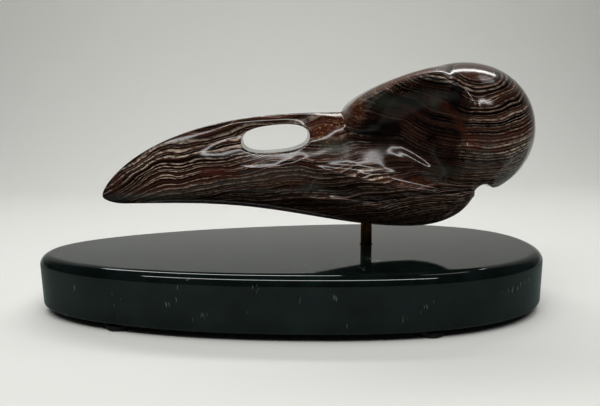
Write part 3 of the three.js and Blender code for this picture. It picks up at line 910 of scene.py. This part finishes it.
    # Smears of the polishing cloth as wide as the clouds, and dull edges where the polish wore off
    smear = node(tree, "ShaderNodeMapRange",
                 {"Value": cloud.outputs["Fac"], "To Min": looks.roughness * SMEARS[0],
                  "To Max": looks.roughness * SMEARS[1]})
    dull = node(tree, "ShaderNodeMapRange", {"Value": layer["dull"], "To Max": WORN_ROUGHNESS})
    worn = node(tree, "ShaderNodeMath", {0: smear.outputs[0], 1: dull.outputs[0]})
    tree.links.new(worn.outputs[0], shader.inputs["Roughness"])
    gloss = node(tree, "ShaderNodeMapRange",
                 {"Value": layer["dull"], "To Min": POLISHED_GLOSS, "To Max": WORN_GLOSS})
    tree.links.new(gloss.outputs[0], shader.inputs["Specular IOR Level"])
    return material


# The base

def middle_half_width():
    """Half width at the middle of the base that gives the frame's overall width."""
    angles = np.linspace(0, np.pi, BASE_SAMPLES)
    along = squared(np.cos(angles), BASE_SQUARENESS)
    widest = np.max(squared(np.sin(angles), BASE_SQUARENESS) * (1 + BASE_EGG * along))
    return (BASE_HIGH.y - BASE_LOW.y) / 2 / widest


class CARVING_OT_base(Operator):
    """Cut the oval base, round its edges and drill it for the pin"""
    bl_idname = "carving.base"
    bl_label = "Cut base"

    def execute(self, context):
        settings = context.scene.carving.base
        base = upright_bar("base_slab", 1, 0, BASE_LOW.z, BASE_HIGH.z, BASE_SIDES)
        rows = coordinates(base)
        along = squared(rows[:, 0], BASE_SQUARENESS)
        across = squared(rows[:, 1], BASE_SQUARENESS)
        y = across * middle_half_width() * (1 + BASE_EGG * along)
        reshape(base, np.column_stack([along * BASE_HIGH.x, y, rows[:, 2]]))
        round_rim(base, BASE_HIGH.z, settings.top_round, TOP_STEPS)
        round_rim(base, BASE_LOW.z, settings.bottom_round, EDGE_STEPS)
        inset_flats(base)
        above = BASE_HIGH.z + CUT_OVERRUN
        cut(base, upright_bar("pin_hole", PIN_RADIUS + GAP, PIN_X, PIN_LOW.z - GAP, above))
        bpy.ops.object.shade_smooth_by_angle(angle=SMOOTH_ANGLE)
        finish_piece(base, "base", green_stone(settings))
        return {"FINISHED"}


# Green stone: real sizes of its clouds, of its needles and of the places that hold them
GREEN_CLOUD_SIZE = mm(9)
NEEDLE_SIZE = mm(0.5)
NEEDLE_TURN = (0.3, 0.7, 0.2)
NEEDLE_LENGTHENING = (1, 1, 0.16)
NEEDLE_PLACES = mm(6)
NEEDLE_COVER = 0.7
GREEN_SMEARS = (0.6, 1.4)


def green_stone(looks):
    """Dark green stone, polished: a mirror gloss over near-black green with clouds and pale needles."""
    material, tree, shader = new_material("green_stone_polished", IOR=1.6)
    place = node(tree, "ShaderNodeTexCoord").outputs["Object"]
    cloud = node(tree, "ShaderNodeTexNoise",
                 {"Vector": place, "Scale": 1 / GREEN_CLOUD_SIZE, "Detail": 5, "Roughness": 0.6})
    tint = node(tree, "ShaderNodeValToRGB", {"Fac": cloud.outputs["Fac"]},
                stops=[(0.35, looks.stone), (0.75, looks.cloud)])

    # Upright needles about 0.2 mm thick and 1 mm long, in few places
    slant = node(tree, "ShaderNodeMapping",
                 {"Vector": place, "Rotation": NEEDLE_TURN, "Scale": NEEDLE_LENGTHENING})
    needle = node(tree, "ShaderNodeTexNoise",
                  {"Vector": slant.outputs[0], "Scale": 1 / NEEDLE_SIZE, "Detail": 1})
    where = node(tree, "ShaderNodeTexNoise", {"Vector": place, "Scale": 1 / NEEDLE_PLACES, "Detail": 1})
    both = node(tree, "ShaderNodeMath", {0: needle.outputs["Fac"], 1: where.outputs["Fac"]},
                operation="MULTIPLY")
    marked = node(tree, "ShaderNodeMapRange",
                  {"Value": both.outputs[0], "From Min": 0.44, "From Max": 0.5, "To Max": NEEDLE_COVER})
    tint = node(tree, "ShaderNodeMix",
                {0: marked.outputs[0], 6: tint.outputs["Color"], 7: (*looks.mark, 1)}, data_type="RGBA")
    tree.links.new(tint.outputs[2], shader.inputs["Base Color"])
    worn = node(tree, "ShaderNodeMapRange",
                {"Value": cloud.outputs["Fac"], "To Min": looks.polish * GREEN_SMEARS[0],
                 "To Max": looks.polish * GREEN_SMEARS[1]})
    tree.links.new(worn.outputs[0], shader.inputs["Roughness"])
    return material


# The pin and the feet

class CARVING_OT_pin(Operator):
    """Cut the brass pin and break its edges"""
    bl_idname = "carving.pin"
    bl_label = "Cut pin"

    def execute(self, context):
        settings = context.scene.carving.fittings
        pin = upright_bar("pin_rod", PIN_RADIUS, PIN_X, PIN_LOW.z, PIN_HIGH.z)
        for end in (PIN_HIGH.z, PIN_LOW.z):
            round_rim(pin, end, settings.pin_chamfer, CHAMFER_STEPS)
        bpy.ops.object.shade_smooth_by_angle(angle=SMOOTH_ANGLE)
        finish_piece(pin, "pin", drawn_brass(settings))
        return {"FINISHED"}


# Brass and rubber: sizes of their stains and bloom, and roughness from clean to stained
STAIN_SIZE = mm(0.8)
STAIN_DRAWN_OUT = (1, 1, 0.15)
BRASS_ROUGHNESS = (0.2, 0.5)
BLOOM_SIZE = mm(1.5)
BLOOM_GREY = 0.08
BLOOM_AMOUNT = 0.3
RUBBER_ROUGHNESS = (0.55, 0.8)


def drawn_brass(looks):
    """Drawn brass rod, tarnished: dark brown with amber glints where it was handled."""
    material, tree, shader = new_material("brass_drawn_tarnished", Metallic=1)
    place = node(tree, "ShaderNodeTexCoord").outputs["Object"]
    drawn = node(tree, "ShaderNodeMapping", {"Vector": place, "Scale": STAIN_DRAWN_OUT})
    stain = node(tree, "ShaderNodeTexNoise",
                 {"Vector": drawn.outputs[0], "Scale": 1 / STAIN_SIZE, "Detail": 3, "Roughness": 0.6})
    tint = node(tree, "ShaderNodeValToRGB", {"Fac": stain.outputs["Fac"]},
                stops=[(0.4, looks.tarnish), (0.7, looks.brass)])
    tree.links.new(tint.outputs["Color"], shader.inputs["Base Color"])
    worn = node(tree, "ShaderNodeMapRange",
                {"Value": stain.outputs["Fac"], "To Min": BRASS_ROUGHNESS[0], "To Max": BRASS_ROUGHNESS[1]})
    tree.links.new(worn.outputs[0], shader.inputs["Roughness"])
    return material


class CARVING_OT_feet(Operator):
    """Mould one foot and set a copy of it at each place"""
    bl_idname = "carving.feet"
    bl_label = "Set feet"

    def execute(self, context):
        settings = context.scene.carving.fittings
        rubber = moulded_rubber(settings)
        low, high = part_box(FEET[0])
        foot = upright_bar("foot", (high.x - low.x) / 2, 0, low.z, high.z)
        round_rim(foot, low.z, settings.foot_round, EDGE_STEPS)
        bpy.ops.object.shade_smooth_by_angle(angle=SMOOTH_ANGLE)
        for name in FEET:
            corner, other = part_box(name)
            pad = foot.copy()
            pad.data = foot.data.copy()
            pad.name = name + "_pad"
            pad.data.name = pad.name
            pad.data.transform(Matrix.Translation(((corner.x + other.x) / 2, (corner.y + other.y) / 2, 0)))
            context.collection.objects.link(pad)
            finish_piece(pad, name, rubber)
        bpy.data.meshes.remove(foot.data)
        return {"FINISHED"}


def moulded_rubber(looks):
    """Moulded rubber: dull near-black with a fine cloudy bloom."""
    material, tree, shader = new_material("rubber_moulded", IOR=1.52)
    place = node(tree, "ShaderNodeTexCoord").outputs["Object"]
    bloom = node(tree, "ShaderNodeTexNoise", {"Vector": place, "Scale": 1 / BLOOM_SIZE, "Detail": 3})
    dusty = tuple(mix(c, BLOOM_GREY, BLOOM_AMOUNT) for c in looks.rubber)
    tint = node(tree, "ShaderNodeValToRGB", {"Fac": bloom.outputs["Fac"]},
                stops=[(0.4, looks.rubber), (0.8, dusty)])
    tree.links.new(tint.outputs["Color"], shader.inputs["Base Color"])
    worn = node(tree, "ShaderNodeMapRange",
                {"Value": bloom.outputs["Fac"], "To Min": RUBBER_ROUGHNESS[0], "To Max": RUBBER_ROUGHNESS[1]})
    tree.links.new(worn.outputs[0], shader.inputs["Roughness"])
    return material


# The stage, in metres
FLOOR_HALF = 1.6
SWEEP_Y = 0.38
SWEEP_HEIGHT = 1.2
SWEEP_RADIUS = 0.16
SWEEP_STEPS = 24
PAPER_ROUGHNESS = 0.9
# A grey card over the floor, seen only in reflections: painted shade that stands in for the shade of the
# camera and its holder in front
CARD_HEIGHT = mm(0.5)
CARD_BACK_Y = mm(90)
CARD_HALF = 0.8
LIGHT_AIM = (0, 0, SKULL_LOW.z)
BACK_STRIP = (0, 0.17, 0.35)
FRONT_STRIP = (-0.03, -0.20, 0.35)
STRIP_SIZE = (0.56, 0.04)
LAMP_PLACE = (0.20, 0.05, 0.36)
LAMP_SIZE = (0.09, 0.09)
FILL_PLACE = (0, -0.22, 0.75)
FILL_SIZE = (0.9, 0.7)
ROOM_DARK = 0.02
ROOM_PALE = 0.55
NEAREST_SEEN = mm(5)


def sheet(name, half_width, front, back, height):
    """A flat sheet at one height, from its front edge to its back edge."""
    start()
    bpy.ops.mesh.primitive_plane_add(size=2)
    made = named(name)
    rows = coordinates(made)
    y = np.where(rows[:, 1] > 0, back, front)
    reshape(made, np.column_stack([rows[:, 0] * half_width, y, rows[:, 2] + height]))
    return made


def set_floor(settings):
    """A pale floor that sweeps up into a backdrop."""
    floor = sheet("floor_and_backdrop", FLOOR_HALF, -FLOOR_HALF, SWEEP_Y, 0)
    select_edges(floor, lambda end: end.y > 0)
    bpy.ops.mesh.extrude_region_move(TRANSFORM_OT_translate={"value": (0, 0, SWEEP_HEIGHT)})
    select_edges(floor, lambda end: end.y > 0 and end.z < WELD)
    bpy.ops.mesh.bevel(offset=SWEEP_RADIUS, segments=SWEEP_STEPS, affect="EDGES")
    bpy.ops.object.mode_set(mode="OBJECT")
    bpy.ops.object.shade_smooth()
    paper = new_material("paper_backdrop_matt", Base_Color=(*settings.floor, 1), Roughness=PAPER_ROUGHNESS)
    floor.data.materials.append(paper[0])


def set_card(settings):
    """A grey card over the floor in front and under the base, which only the polished stone mirrors: painted
    shade, standing in for the shade of the camera and its holder in front.
    """
    card = sheet("reflected_shade_card", CARD_HALF, -FLOOR_HALF, CARD_BACK_Y, CARD_HEIGHT)
    card.visible_camera = False
    card.visible_diffuse = False
    card.visible_shadow = False
    reflected_shade = new_material("reflected_shade_grey", Base_Color=(*settings.card, 1), Roughness=1)
    card.data.materials.append(reflected_shade[0])


def area_light(name, place, power, shape, width, height):
    """A soft light at a place, turned to the carving."""
    bpy.ops.object.light_add(type="AREA", location=place)
    light = named(name)
    light.data.energy = power
    light.data.shape = shape
    light.data.size = width
    light.data.size_y = height
    light.rotation_euler = (Vector(LIGHT_AIM) - Vector(place)).to_track_quat("-Z", "Y").to_euler()
    return light


def set_lights(settings):
    """Two long lights and a round one for the polish to mirror, and a soft fill that it doesn't."""
    area_light("back_strip_light", BACK_STRIP, settings.strip_power, "RECTANGLE", *STRIP_SIZE)
    area_light("front_strip_light", FRONT_STRIP, settings.strip_power, "RECTANGLE", *STRIP_SIZE)
    area_light("round_light", LAMP_PLACE, settings.lamp_power, "DISK", *LAMP_SIZE)
    fill = area_light("fill_light", FILL_PLACE, settings.fill_power, "RECTANGLE", *FILL_SIZE)
    fill.visible_glossy = False


def set_room(scene):
    """A dim room for the stone to mirror, which a camera sees as pale."""
    world = bpy.data.worlds.new("studio_room")
    world.use_nodes = True
    tree = world.node_tree
    seen = node(tree, "ShaderNodeLightPath").outputs["Is Camera Ray"]
    level = node(tree, "ShaderNodeMapRange", {"Value": seen, "To Min": ROOM_DARK, "To Max": ROOM_PALE})
    tree.links.new(level.outputs[0], tree.nodes["Background"].inputs["Strength"])
    tree.nodes["Background"].inputs["Color"].default_value = (1, 1, 1, 1)
    scene.world = world
    scene.view_settings.view_transform = "Standard"
    scene.view_settings.look = "Medium High Contrast"


def set_camera(scene, settings):
    """The camera at the photograph's viewing angle."""
    bpy.ops.object.camera_add(location=settings.eye_place)
    camera = named("photo_camera")
    camera.data.lens = settings.lens
    camera.data.clip_start = NEAREST_SEEN
    turn = (Matrix.Rotation(settings.yaw, 4, "Z") @ Matrix.Rotation(math.pi / 2 - settings.pitch, 4, "X")
            @ Matrix.Rotation(settings.roll, 4, "Z"))
    camera.rotation_euler = turn.to_euler()
    scene.camera = camera


class CARVING_OT_stage(Operator):
    """Set the floor, the lights and the camera"""
    bl_idname = "carving.stage"
    bl_label = "Set stage"

    def execute(self, context):
        settings = context.scene.carving.stage
        set_floor(settings)
        set_card(settings)
        set_lights(settings)
        set_room(context.scene)
        set_camera(context.scene, settings)
        return {"FINISHED"}


class CARVING_PT_panel(Panel):
    bl_label = "Raven skull carving"
    bl_idname = "CARVING_PT_panel"
    bl_space_type = "VIEW_3D"
    bl_region_type = "UI"
    bl_category = "Carving"

    def draw(self, context):
        for part, operators in PANEL_ROWS:
            box = self.layout.box()
            settings = getattr(context.scene.carving, part)
            for name in settings.bl_rna.properties.keys():
                if name not in ("name", "rna_type"):
                    box.prop(settings, name)
            for operator in operators:
                box.operator(operator)


PANEL_ROWS = (
    ("skull", ["carving.skull"]),
    ("base", ["carving.base"]),
    ("fittings", ["carving.pin", "carving.feet"]),
    ("stage", ["carving.stage"]),
)
CLASSES = (
    SkullSettings, BaseSettings, FittingSettings, StageSettings, CarvingSettings,
    CARVING_OT_skull, CARVING_OT_base, CARVING_OT_pin, CARVING_OT_feet, CARVING_OT_stage, CARVING_PT_panel,
)


def register():
    for made in CLASSES:
        bpy.utils.register_class(made)
    bpy.types.Scene.carving = PointerProperty(type=CarvingSettings)


def unregister():
    del bpy.types.Scene.carving
    for made in reversed(CLASSES):
        bpy.utils.unregister_class(made)


def main():
    register()
    bpy.ops.carving.skull()
    bpy.ops.carving.base()
    bpy.ops.carving.pin()
    bpy.ops.carving.feet()
    bpy.ops.carving.stage()


if __name__ == "__main__":
    main()
